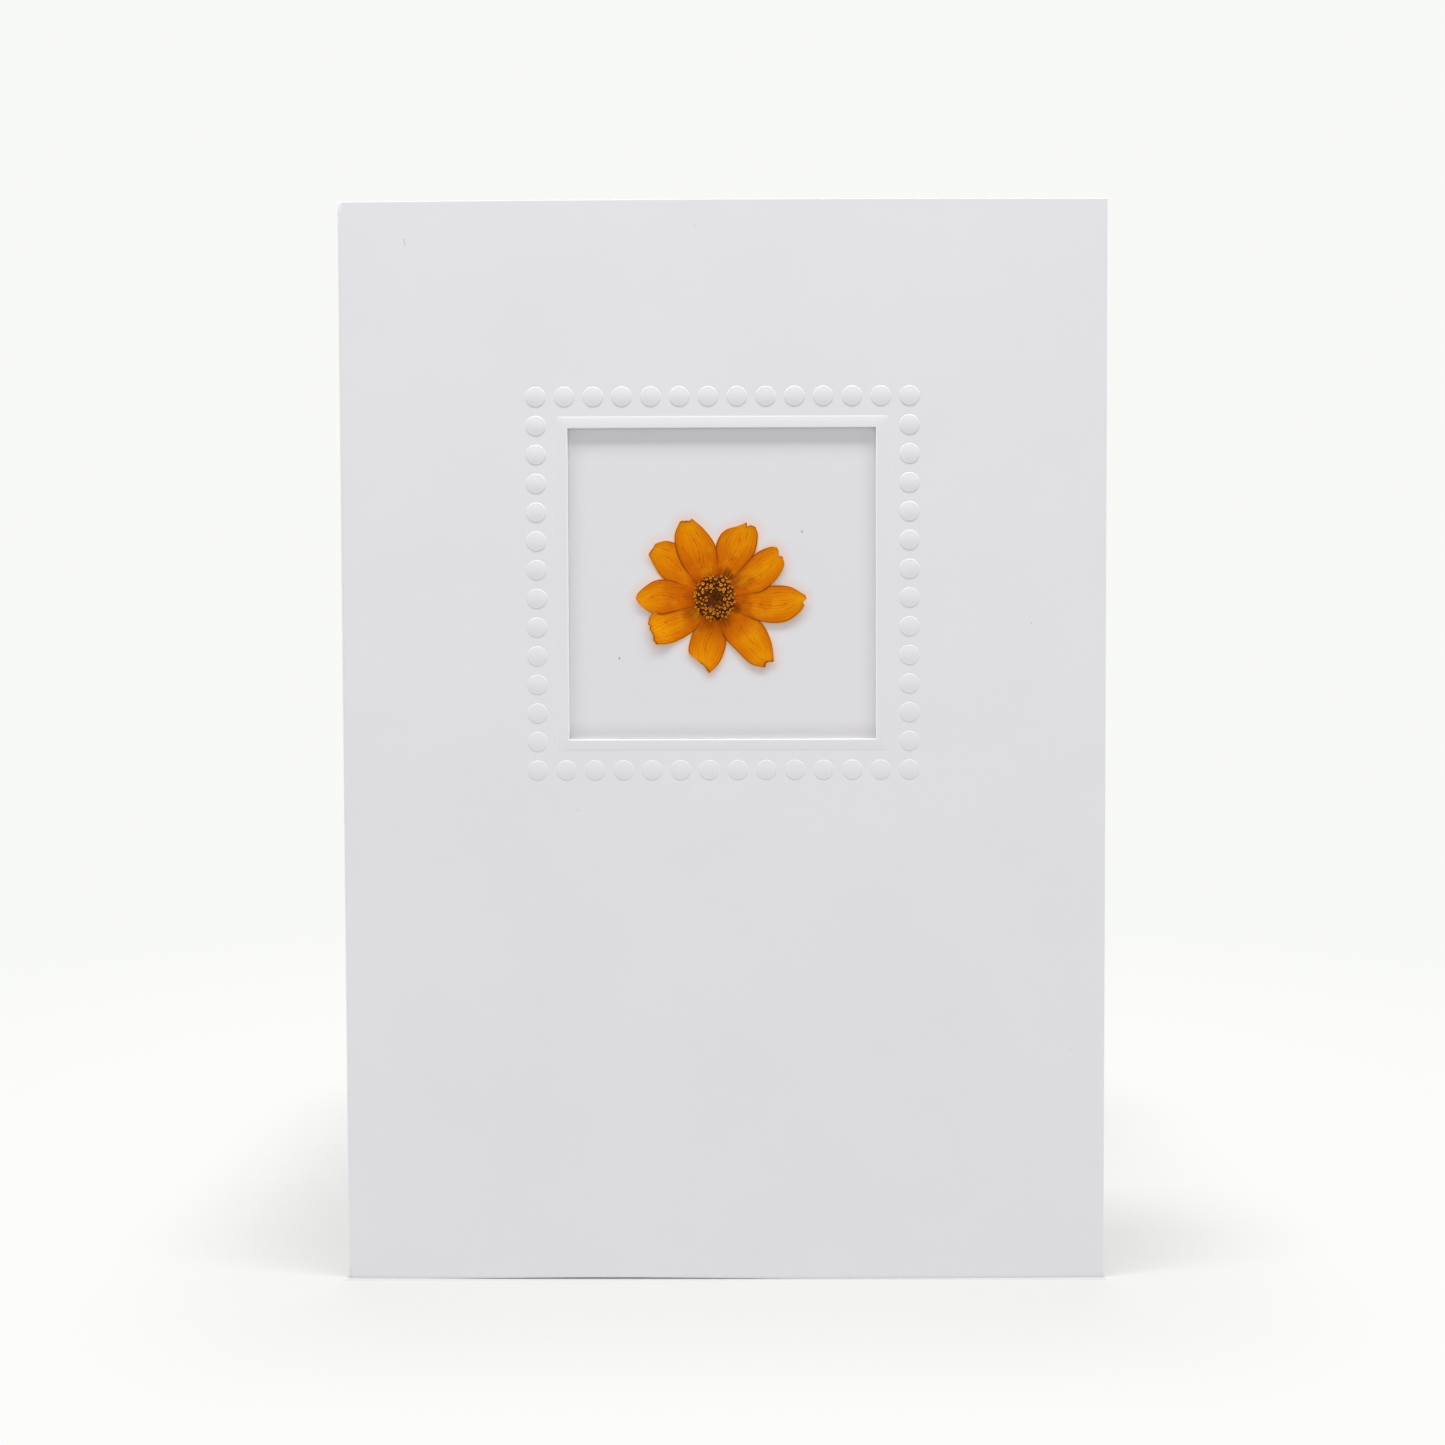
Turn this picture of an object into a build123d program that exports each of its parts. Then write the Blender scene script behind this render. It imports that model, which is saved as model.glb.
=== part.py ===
# Greeting card standing open on its bottom edges, with a pressed flower behind a die-cut window.
# The front panel faces -Y, the fold is at -X, and +Z is up. All sizes are millimetres.
# The origin lies on the table, under the middle of the box around the whole card.
import os
from math import asin, cos, degrees, pi, radians, sin

from build123d import *

# Folded sheet
card_width = 126.0
card_height = 178.0
stock = 0.35              # thickness of the card stock
fold_inner_radius = 0.3
opening_angle = 45.0      # between the two panels
front_bow = 0.6           # the front panel bulges this far towards the viewer

# Window and the cambered band pressed up around it
window_width = 50.5
window_height = 51.0
window_drop = 62.55       # from the top edge down to the middle of the window
window_register = -0.15   # the cut sits a little left of the embossing
band_width = 1.9
band_rise = 0.17
pressed_stock = 0.3       # the embossing squeezes the stock to this

# Square ring of embossed beads
bead_pitch = 4.71
beads_per_side = 14
bead_diameter = 3.3
bead_height = 0.12
bead_step_height = 0.06   # steep wall round the foot of a bead
bead_step_run = 0.1
bead_sides = 12           # facets round each bead
dome_bearings = (0, 35, 65)   # rings of facets on the dome, in degrees above its shoulder

# Backing sheet and the double-sided tape that holds it
backing_width = 84.0
backing_height = 86.0
backing_stock = 0.25
tape_thickness = 0.1
tape_width = 6.0
tape_margin = 0.8         # from the sheet's edge to the tape
tape_gap = 0.6            # between the ends of two strips

# Pressed flower
flower_x = -1.4
flower_drop = 2.25        # from the middle of the window down to the flower's centre
petal_thickness = 0.07
layer_gap = 0.02          # air between two petals that lie on each other
petal_lift = 0.3          # how far the tips curl up off the paper
lift_reach = 14.0         # distance from the centre where the lift is reached
claw_half_width = 0.75    # half the width of a petal at its root
stem_radius = 2.4
root_clearance = 0.03
disc_radius = 3.3
disc_thickness = 0.22
eye_radius = 1.0          # sunken middle of the disc
eye_depth = 0.1
floret_foot_radius = 0.15
floret_mouth_radius = 0.26
floret_height = 0.34
floret_lobes = 5

floret_spacing = 0.9      # the least distance round a ring from one floret to the next

# Rings of tiny florets and their distance from the centre
floret_rings = {
    "inner_florets": 1.4,
    "middle_florets": 2.08,
    "outer_florets": 2.88,
}

# Petals, each in its own frame: first number along the petal, second across it to the left.
# The angle is counter-clockwise from +X as seen from the front; layer 0 lies on the paper.
petals = {
    "petal_upper_left": dict(
        angle=140, layer=0,
        left=[(5.0, 2.2), (8.4, 3.0), (10.8, 2.4)],
        tip=[(12.9, 1.5), (12.9, 0.6), (13.1, -0.6)],
        right=[(12.0, -2.1), (10.0, -2.9), (7.5, -2.8), (4.8, -1.7)]),
    "petal_top_right": dict(
        angle=66, layer=0,
        left=[(4.4, 2.1), (8.1, 3.3), (10.6, 3.0)],
        tip=[(12.4, 1.1), (13.4, 0.1), (12.7, -0.2), (13.3, -0.6), (13.3, -1.5)],
        right=[(12.0, -2.5), (9.0, -3.1), (5.0, -2.0)]),
    "petal_lower_left": dict(
        angle=-148, layer=0,
        left=[(4.2, 2.5), (6.2, 2.9), (8.8, 2.8), (10.4, 2.4)],
        tip=[(12.1, 1.3), (11.9, 0.3), (11.6, -1.2), (11.2, -2.5)],
        right=[(9.6, -3.4), (7.0, -3.0), (4.6, -1.9)]),
    "petal_top": dict(
        angle=110, layer=1,
        left=[(5.3, 2.7), (8.6, 3.3), (11.7, 2.7)],
        tip=[(13.7, 1.0), (13.5, 0.3), (13.2, -0.5), (13.4, -1.0)],
        right=[(11.0, -2.3), (8.0, -3.1), (5.0, -2.4)]),
    "petal_left": dict(
        angle=178, layer=1,
        left=[(5.7, 2.2), (8.4, 3.0), (10.6, 2.7)],
        tip=[(12.4, 1.3), (12.9, 0.6)],
        right=[(12.4, -0.6), (10.1, -2.4), (7.6, -2.7), (5.0, -1.9)]),
    "petal_bottom": dict(
        angle=-97, layer=1,
        left=[(4.5, 2.0), (6.7, 2.8), (8.9, 2.6), (10.8, 1.9)],
        tip=[(12.4, 0.6), (11.2, -0.5), (10.4, -1.8)],
        right=[(9.3, -3.2), (6.5, -3.0), (4.6, -2.1)]),
    "petal_lower_right": dict(
        angle=-51, layer=2,
        left=[(5.0, 2.6), (8.4, 3.4), (11.6, 2.6)],
        tip=[(14.2, 1.0), (14.1, 0.5), (13.6, 0.1), (14.1, -0.9)],
        right=[(12.1, -2.3), (9.0, -2.7), (6.6, -2.9), (4.4, -2.3)]),
    "petal_right": dict(
        angle=-4, layer=3,
        left=[(5.0, 1.6), (9.0, 2.6), (12.2, 2.6)],
        tip=[(14.8, 1.4), (15.1, 0.8), (14.4, 0.2), (14.8, -0.3)],
        right=[(14.1, -1.5), (11.9, -3.2), (8.6, -3.5), (5.2, -2.5)]),
    "petal_upper_right": dict(
        angle=32, layer=4,
        left=[(4.8, 1.3), (9.2, 2.5), (12.0, 2.2)],
        tip=[(13.1, 1.4), (12.6, 0.1), (13.0, -0.3)],
        right=[(12.4, -1.7), (10.1, -2.9), (7.2, -3.3), (5.0, -2.4)]),
}

# Derived heights above the table
window_centre_height = card_height - window_drop
flower_height = window_centre_height - flower_drop

# Derived sizes of the fold and of the bow, whose axis is a vertical line behind the panel
fold_outer_radius = fold_inner_radius + stock
half_width = card_width / 2
bow_radius = (half_width ** 2 + front_bow ** 2) / (2 * front_bow)
bow_axis_y = bow_radius - front_bow
fold_turn = asin((half_width - fold_outer_radius) / (bow_radius - fold_outer_radius))
edge_turn = asin(half_width / bow_radius)
front_skin = bow_radius
back_skin = bow_radius - stock
backing_skin = back_skin - tape_thickness
layer_step = petal_thickness + layer_gap
top_layer = max(petal["layer"] for petal in petals.values())
saucer_radius = (lift_reach ** 2 + petal_lift ** 2) / (2 * petal_lift)


def bow_point(radius, turn):
    # Point of the bowed front panel in plan; a negative turn is towards the fold.
    return Vector(radius * sin(turn), bow_axis_y - radius * cos(turn))


def fold_point(radius, bearing):
    # Point around the fold's own axis in plan; the bearing is in degrees from +X.
    axis = bow_point(bow_radius - fold_outer_radius, -fold_turn)
    return axis + Vector(radius * cos(radians(bearing)), radius * sin(radians(bearing)))


def front_plane(arc_x, height, skin):
    # Plane on the bowed panel at a distance along its arc, facing the viewer.
    turn = arc_x / bow_radius
    spot = bow_point(skin, turn)
    return Plane(
        origin=(spot.X, spot.Y, height),
        x_dir=(cos(turn), sin(turn), 0),
        z_dir=(sin(turn), -cos(turn), 0))


def bowed_slab(outer_skin, inner_skin, width, height, centre_x, bottom):
    # Upright sheet that follows the bow, between two distances from its axis.
    first, last = [(centre_x + side * width / 2) / bow_radius for side in (-1, 1)]
    middle = centre_x / bow_radius
    outline = make_face([
        ThreePointArc(*[bow_point(outer_skin, turn) for turn in (first, middle, last)]),
        Line(bow_point(outer_skin, last), bow_point(inner_skin, last)),
        ThreePointArc(*[bow_point(inner_skin, turn) for turn in (last, middle, first)]),
        Line(bow_point(inner_skin, first), bow_point(outer_skin, first)),
    ])
    return Pos(0, 0, bottom) * extrude(outline, height, dir=(0, 0, 1))


def folded_sheet():
    # One outline in plan: front panel, round fold and back panel, pulled up to the card's height.
    front_bearing = -90 - degrees(fold_turn)
    back_bearing = 90 + opening_angle - 360
    mid_bearing = (front_bearing + back_bearing) / 2
    along = Vector(cos(radians(opening_angle)), sin(radians(opening_angle)))
    back_length = card_width - fold_outer_radius
    outer = [fold_point(fold_outer_radius, b) for b in (front_bearing, mid_bearing, back_bearing)]
    inner = [fold_point(fold_inner_radius, b) for b in (front_bearing, mid_bearing, back_bearing)]
    outline = make_face([
        ThreePointArc(bow_point(front_skin, edge_turn), bow_point(front_skin, 0), outer[0]),
        ThreePointArc(*outer),
        Line(outer[2], outer[2] + along * back_length),
        Line(outer[2] + along * back_length, inner[2] + along * back_length),
        Line(inner[2] + along * back_length, inner[2]),
        ThreePointArc(*reversed(inner)),
        ThreePointArc(inner[0], bow_point(back_skin, 0), bow_point(back_skin, edge_turn)),
        Line(bow_point(back_skin, edge_turn), bow_point(front_skin, edge_turn)),
    ])
    return extrude(outline, card_height, dir=(0, 0, 1))


def camber(run, rise, fraction):
    # Height along the quarter-round of the pressed band, flat where it meets the window.
    radius = (run ** 2 + rise ** 2) / (2 * rise)
    left_to_go = run * (1 - fraction)
    return rise - radius + (radius ** 2 - left_to_go ** 2) ** 0.5


def raised_pad(skin, sunk_skin, run, rise, width, height):
    # Cushion with cambered sides, mitred at its corners, over the whole window and its band.
    half = width / 2
    steps = (0, 0.5, 1)
    rim = [(-half + run * s, skin + camber(run, rise, s)) for s in steps]
    left = [bow_point(radius, x / bow_radius) for x, radius in rim]
    right = [bow_point(radius, -x / bow_radius) for x, radius in reversed(rim)]
    sunk = [bow_point(sunk_skin, turn) for turn in (half / bow_radius, 0, -half / bow_radius)]
    across = extrude(make_face([
        ThreePointArc(*left),
        ThreePointArc(left[2], bow_point(skin + rise, 0), right[0]),
        ThreePointArc(*right),
        Line(right[2], sunk[0]),
        ThreePointArc(*sunk),
        Line(sunk[2], left[0]),
    ]), card_height, dir=(0, 0, 1))

    low = window_centre_height - height / 2
    high = window_centre_height + height / 2
    foot = [(skin + camber(run, rise, s), low + run * s) for s in steps]
    head = [(radius, low + high - z) for radius, z in reversed(foot)]
    section = make_face([
        ThreePointArc(*foot),
        Line(foot[2], head[0]),
        ThreePointArc(*head),
        Line(head[2], (sunk_skin, high)),
        Line((sunk_skin, high), (sunk_skin, low)),
        Line((sunk_skin, low), foot[0]),
    ])
    # The upright section turns about the bow's axis, well past both sides of the pad.
    reach = width / bow_radius
    start = Plane(
        origin=(0, bow_axis_y, 0),
        x_dir=(sin(-reach), -cos(reach), 0),
        z_dir=(cos(reach), sin(-reach), 0))
    bow_axis = Axis((0, bow_axis_y, 0), (0, 0, 1))
    return across & revolve(start * section, bow_axis, degrees(2 * reach))


def bead_spots():
    # Centres of the beads round the square ring, each one once.
    reach = bead_pitch * (beads_per_side - 1) / 2
    spots = []
    for step in range(beads_per_side - 1):
        run = -reach + step * bead_pitch
        spots += [(run, reach), (reach, -run), (-run, -reach), (-reach, run)]
    return spots


def faceted_form(rings, sides):
    # Closed solid of flat facets through rings of (radius, height), all with the same corners.
    loops = [
        [Vector(radius, 0, height).rotate(Axis.Z, 360 * corner / sides) for corner in range(sides)]
        for radius, height in rings]
    faces = [Face(Wire.make_polygon(loop)) for loop in (loops[0], loops[-1])]
    for low, high in zip(loops, loops[1:]):
        for corner in range(sides):
            beside = (corner + 1) % sides
            faces.append(Face(Wire.make_polygon(
                [low[corner], low[beside], high[beside], high[corner]])))
    return Solid(Shell(faces))


def bead_dome():
    # Raised bead: a steep wall, which starts within the stock, and a flattened dome above it.
    # The dents behind the beads lie under the backing sheet and are left out.
    root = -stock / 2
    foot = bead_diameter / 2
    shoulder = foot - bead_step_run
    dome_rise = bead_height - bead_step_height
    wall = [(foot - bead_step_run * root / bead_step_height, root)]
    dome = [
        (shoulder * cos(radians(bearing)), bead_step_height + dome_rise * sin(radians(bearing)))
        for bearing in dome_bearings]
    return faceted_form(wall + dome, bead_sides)


def build_card():
    # The embossing is raised on the front, the band is sunk into the back, the window is cut.
    pad_width = window_width + 2 * band_width
    pad_height = window_height + 2 * band_width
    mid_stock = (front_skin + back_skin) / 2
    behind = back_skin - stock
    bead = bead_dome()
    raised = [
        front_plane(x, window_centre_height + z, front_skin) * bead for x, z in bead_spots()]
    raised.append(raised_pad(
        front_skin, mid_stock, band_width, band_rise, pad_width, pad_height))
    sunk = raised_pad(
        back_skin, behind, band_width, band_rise + stock - pressed_stock,
        pad_width - pressed_stock, pad_height - pressed_stock)
    window = bowed_slab(
        front_skin + band_rise + stock, behind, window_width, window_height,
        window_register, window_centre_height - window_height / 2)
    return folded_sheet() + raised - sunk - window


def build_backing():
    return bowed_slab(backing_skin, backing_skin - backing_stock, backing_width, backing_height,
                      0, window_centre_height - backing_height / 2)


def build_tape():
    # Two strips run right across, above and below the window, and two stand between them.
    long_strip = backing_width - 2 * tape_margin
    short_strip = backing_height - 2 * (tape_margin + tape_width + tape_gap)
    side_x = (long_strip - tape_width) / 2
    low = window_centre_height - backing_height / 2 + tape_margin
    high = window_centre_height + backing_height / 2 - tape_margin - tape_width
    middle = window_centre_height - short_strip / 2
    strips = {
        "tape_top": (long_strip, tape_width, 0, high),
        "tape_bottom": (long_strip, tape_width, 0, low),
        "tape_left": (tape_width, short_strip, -side_x, middle),
        "tape_right": (tape_width, short_strip, side_x, middle),
    }
    return {name: bowed_slab(back_skin, backing_skin, *strip) for name, strip in strips.items()}


def petal_outline(petal):
    # Smooth flanks that leave the narrow root, and a toothed tip of short straight cuts.
    root = stem_radius / 2
    left_root = (root, claw_half_width)
    right_root = (root, -claw_half_width)
    tip = petal["tip"]
    flanks = [
        Spline(left_root, *petal["left"], tip[0]),
        Spline(tip[-1], *petal["right"], right_root),
        Line(right_root, left_root),
    ]
    teeth = [Line(a, b) for a, b in zip(tip, tip[1:])]
    return Rot(0, 0, petal["angle"]) * make_face(flanks + teeth)


def build_petal(petal):
    # Thin blade cut from a shallow saucer, so that its tip rises a little from the paper.
    # The balls lie on their side, which keeps their poles away from the blade.
    rest = layer_gap + petal["layer"] * layer_step
    middle = Pos(0, 0, rest + saucer_radius) * Rot(90, 0, 0)
    blade = extrude(petal_outline(petal), lift_reach, dir=(0, 0, 1))
    blade = blade & (middle * Sphere(saucer_radius))
    blade = blade - middle * Sphere(saucer_radius - petal_thickness)
    return blade - Cylinder(stem_radius + root_clearance, 2 * lift_reach)


def disc_underside():
    # Height over the paper where the disc clears the topmost petal.
    curl = disc_radius ** 2 / (2 * saucer_radius)
    return layer_gap + top_layer * layer_step + petal_thickness + curl + layer_gap


def build_disc():
    # Receptacle: a short stem on the paper and a cap over the petal roots, sunken at the eye.
    under = disc_underside()
    top = under + disc_thickness
    profile = Polyline(
        (0, 0), (stem_radius, 0), (stem_radius, under), (disc_radius, under), (disc_radius, top),
        (eye_radius, top), (0, top - eye_depth), close=True)
    return revolve(Plane.XZ * make_face(profile), Axis.Z)


def build_ring(radius):
    # Ring of florets that flare towards their mouths and stand on the disc.
    count = int(2 * pi * radius / floret_spacing)
    base = disc_underside() + disc_thickness
    trumpet = [(floret_foot_radius, base), (floret_mouth_radius, base + floret_height)]
    floret = Pos(radius, 0, 0) * faceted_form(trumpet, floret_lobes)
    return Compound([Rot(0, 0, 360 * turn / count) * floret for turn in range(count)])


def build_flower():
    plane = front_plane(flower_x, flower_height, backing_skin)
    parts = {name: build_petal(petal) for name, petal in petals.items()}
    parts["flower_disc"] = build_disc()
    for name, radius in floret_rings.items():
        parts[name] = build_ring(radius)
    return {name: plane * shape for name, shape in parts.items()}


def build_all():
    parts = {"card": build_card(), "backing_sheet": build_backing()}
    parts.update(build_tape())
    parts.update(build_flower())
    corners = [shape.bounding_box() for shape in parts.values()]
    low_y = min(box.min.Y for box in corners)
    high_y = max(box.max.Y for box in corners)
    to_middle = Pos(0, -(low_y + high_y) / 2, 0)
    return {name: to_middle * shape for name, shape in parts.items()}


os.makedirs("parts", exist_ok=True)
for name, shape in build_all().items():
    export_step(shape, f"parts/{name}.step")
    print(name, round(shape.volume, 3))
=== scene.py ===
import random
from math import asin, atan2, cos, hypot, pi, radians, sin, sqrt

import bmesh
import bpy
from mathutils import Matrix, Vector, noise
from mathutils.kdtree import KDTree


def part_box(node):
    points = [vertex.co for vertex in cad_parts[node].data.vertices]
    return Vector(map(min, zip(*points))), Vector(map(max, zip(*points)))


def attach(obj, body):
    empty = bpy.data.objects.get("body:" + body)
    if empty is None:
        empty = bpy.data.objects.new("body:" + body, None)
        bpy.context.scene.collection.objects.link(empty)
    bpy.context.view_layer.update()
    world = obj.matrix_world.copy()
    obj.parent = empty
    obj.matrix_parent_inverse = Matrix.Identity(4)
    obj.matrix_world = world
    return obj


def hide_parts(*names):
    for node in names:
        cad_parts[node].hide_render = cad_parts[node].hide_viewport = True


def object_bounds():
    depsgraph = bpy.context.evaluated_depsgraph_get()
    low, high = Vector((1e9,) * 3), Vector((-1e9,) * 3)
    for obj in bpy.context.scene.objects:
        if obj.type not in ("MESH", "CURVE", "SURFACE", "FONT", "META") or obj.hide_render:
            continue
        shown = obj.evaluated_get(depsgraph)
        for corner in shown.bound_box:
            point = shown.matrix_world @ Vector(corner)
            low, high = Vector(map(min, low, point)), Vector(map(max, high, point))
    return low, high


# Greeting card with a pressed flower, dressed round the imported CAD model.
# Everything is in metres; mm turns the sizes below into metres.
mm = .001
hair = .01 * mm     # places closer than this count as one
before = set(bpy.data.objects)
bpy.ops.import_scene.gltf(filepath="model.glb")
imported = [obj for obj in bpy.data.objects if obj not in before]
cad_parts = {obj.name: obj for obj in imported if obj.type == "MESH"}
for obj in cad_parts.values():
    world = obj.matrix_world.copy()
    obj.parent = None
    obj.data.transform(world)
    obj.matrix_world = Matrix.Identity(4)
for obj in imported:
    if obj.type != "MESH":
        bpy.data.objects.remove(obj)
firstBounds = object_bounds()
random.seed(11)
print("frame loaded:", len(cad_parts), "nodes")


# working in edit mode, as by hand

def deselectAll():
    if bpy.context.mode != "OBJECT":
        bpy.ops.object.mode_set(mode="OBJECT")
    bpy.ops.object.select_all(action="DESELECT")


def pick(*pieces):
    deselectAll()
    for piece in pieces:
        piece.select_set(True)
    bpy.context.view_layer.objects.active = pieces[0]
    return pieces[0]


def editMode():
    bpy.ops.object.mode_set(mode="EDIT")
    bpy.ops.mesh.select_mode(type="VERT")


def objectMode():
    bpy.ops.object.mode_set(mode="OBJECT")


def applyPlace():
    bpy.ops.object.transform_apply(location=True, rotation=True, scale=True)


def choose(piece, test):
    # selects the vertices that pass the test, in the mesh that is being edited
    cage = bmesh.from_edit_mesh(piece.data)
    bpy.ops.mesh.select_all(action="DESELECT")
    for vertex in cage.verts:
        if test(vertex):
            vertex.select_set(True)
    cage.select_flush_mode()
    bmesh.update_edit_mesh(piece.data)


def isRim(vertex):
    return vertex.is_boundary


def growEdge(scale=(1, 1, 1), about=(0, 0, 0), move=(0, 0, 0)):
    # extrudes the selected edge loop, then scales and moves it
    bpy.ops.mesh.extrude_edges_move()
    if tuple(scale) != (1, 1, 1):
        bpy.ops.transform.resize(value=scale, center_override=about)
    if tuple(move) != (0, 0, 0):
        bpy.ops.transform.translate(value=move)


def growProfile(profile):
    # draws a ring up through a profile of radius and height, from its first place on
    (radius, height), rest = profile[0], profile[1:]
    for nextRadius, nextHeight in rest:
        growEdge(scale=(nextRadius / radius, nextRadius / radius, 1),
                 move=(0, 0, nextHeight - height))
        radius, height = nextRadius, nextHeight


def closeEnd():
    # draws the selected ring together in one point
    bpy.ops.mesh.extrude_edges_move()
    bpy.ops.mesh.merge(type="CENTER")


def faceOutwards():
    bpy.ops.mesh.select_all(action="SELECT")
    bpy.ops.mesh.normals_make_consistent(inside=False)


def faceViewer(piece, face):
    # turns an open sheet over if the given face looks away from the viewer
    if face.normal.y > 0:
        editMode()
        bpy.ops.mesh.select_all(action="SELECT")
        bpy.ops.mesh.flip_normals()
        objectMode()


def addModifier(piece, kind, **settings):
    modifier = piece.modifiers.new(kind.title(), kind)
    for name, value in settings.items():
        setattr(modifier, name, value)
    pick(piece)
    bpy.ops.object.modifier_apply(modifier=modifier.name)


def copyPiece(piece):
    # a copy with a mesh of its own
    twin = piece.copy()
    twin.data = piece.data.copy()
    bpy.context.collection.objects.link(twin)
    return twin


def finishPiece(piece, name, nodes, smooth=30):
    # names the piece, shades it smooth up to an angle and ties it to the CAD frame
    pick(piece)
    applyPlace()
    bpy.ops.object.shade_smooth_by_angle(angle=radians(smooth))
    piece.name = piece.data.name = name
    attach(piece, "root")
    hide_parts(*nodes)
    return piece


def smoothStep(low, high, value):
    t = min(1, max(0, (value - low) / (high - low)))
    return t * t * (3 - 2 * t)


# sizes of the folded sheet, its window and its beads

cardSheet = dict(
    width=126 * mm, height=178 * mm, stock=.35 * mm,
    bow=.6 * mm,                 # the front panel bulges this far
    foldRadius=.65 * mm, foldSteps=12,
    openingAngle=45,             # degrees between the two panels
    panelSteps=8,                # rings of faces from the beads to the panel's edges
    edgeRing=.16 * mm,           # narrow last ring, which keeps the shading flat up to the edge
    edgeRound=.07 * mm, edgeSteps=3, edgeAngle=65,              # soft edge of the cut stock
    footLift=.3 * mm, footMiddle=-18 * mm, footReach=34 * mm,   # bottom edge off the table
    weldGap=.005 * mm,
)
window = dict(
    width=50.5 * mm, height=51 * mm, drop=62.55 * mm, register=-.15 * mm,
    bandWidth=1.9 * mm, bandRise=.07 * mm, bandSteps=8,
    rimRing=.06 * mm,     # narrow flat ring that keeps the band's rim crisp
    rimRun=.1 * mm, rimStep=.022 * mm,    # low steep step where the band starts
    lipRun=.2 * mm, lipDrop=.03 * mm,     # the die pushed back the edge of the bottom cut
    lowerPress=.4,        # below the window the band is pressed up this share as far
)
bead = dict(
    pitch=4.71 * mm, perSide=14, radius=1.65 * mm, height=.11 * mm,
    stepHeight=.046 * mm, stepRun=.09 * mm, ledge=.1 * mm, segments=32, domeSteps=6,
    stepProfile=[(.3, .12), (.7, .84)],   # shares of the steep wall's run and height
    flatRings=(1.05, 1.2),                # flat card round the bead, as shares of its size
    weldGap=.02 * mm,
    lowerPress=.6,        # the same for the beads
)

bowRadius = ((cardSheet["width"] / 2) ** 2 + cardSheet["bow"] ** 2) / (2 * cardSheet["bow"])
windowHeight = cardSheet["height"] - window["drop"]
halfRight = cardSheet["width"] / 2
foldRun = halfRight - cardSheet["foldRadius"]
foldTurn = asin(foldRun / (bowRadius - cardSheet["foldRadius"]))
panelLeft = -bowRadius * sin(foldTurn)
opening = radians(cardSheet["openingAngle"])
backLength = cardSheet["width"] - cardSheet["foldRadius"]
# the back panel's free edge is the frame's farthest point, which places the bow
foldBack = cardSheet["foldRadius"] * cos(foldTurn)
farEdge = foldBack + cardSheet["foldRadius"] * cos(opening) + backLength * sin(opening)
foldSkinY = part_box("card")[1].y - farEdge
crownY = foldSkinY - bowRadius * (1 - cos(foldTurn))


# materials

def tone(red, green, blue):
    # an sRGB colour, 0 to 255, as linear light
    def light(value):
        value /= 255
        return value / 12.92 if value <= .04045 else ((value + .055) / 1.055) ** 2.4
    return (light(red), light(green), light(blue), 1)


class Wire:
    # wraps a shader socket, so that shader maths reads as sums
    def __init__(self, finish, socket):
        self.finish, self.socket = finish, socket

    def maths(self, operation, first, second=0):
        return self.finish.add("Math", dict(operation=operation), {0: first, 1: second})

    def __add__(self, other):
        return self.maths("ADD", self, other)

    def __sub__(self, other):
        return self.maths("SUBTRACT", self, other)

    def __rsub__(self, other):
        return self.maths("SUBTRACT", other, self)

    def __mul__(self, other):
        return self.maths("MULTIPLY", self, other)

    __radd__ = __add__
    __rmul__ = __mul__

    def sine(self):
        return self.maths("SINE", self)

    def root(self):
        return self.maths("SQRT", self)

    def size(self):
        return self.maths("ABSOLUTE", self)

    def least(self, other):
        return self.maths("MINIMUM", self, other)

    def most(self, other):
        return self.maths("MAXIMUM", self, other)

    def ease(self, low, high):
        # smooth step from 0 at low to 1 at high
        return self.finish.add("MapRange", dict(interpolation_type="SMOOTHSTEP"),
                               {"Value": self, "From Min": low, "From Max": high})


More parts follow.
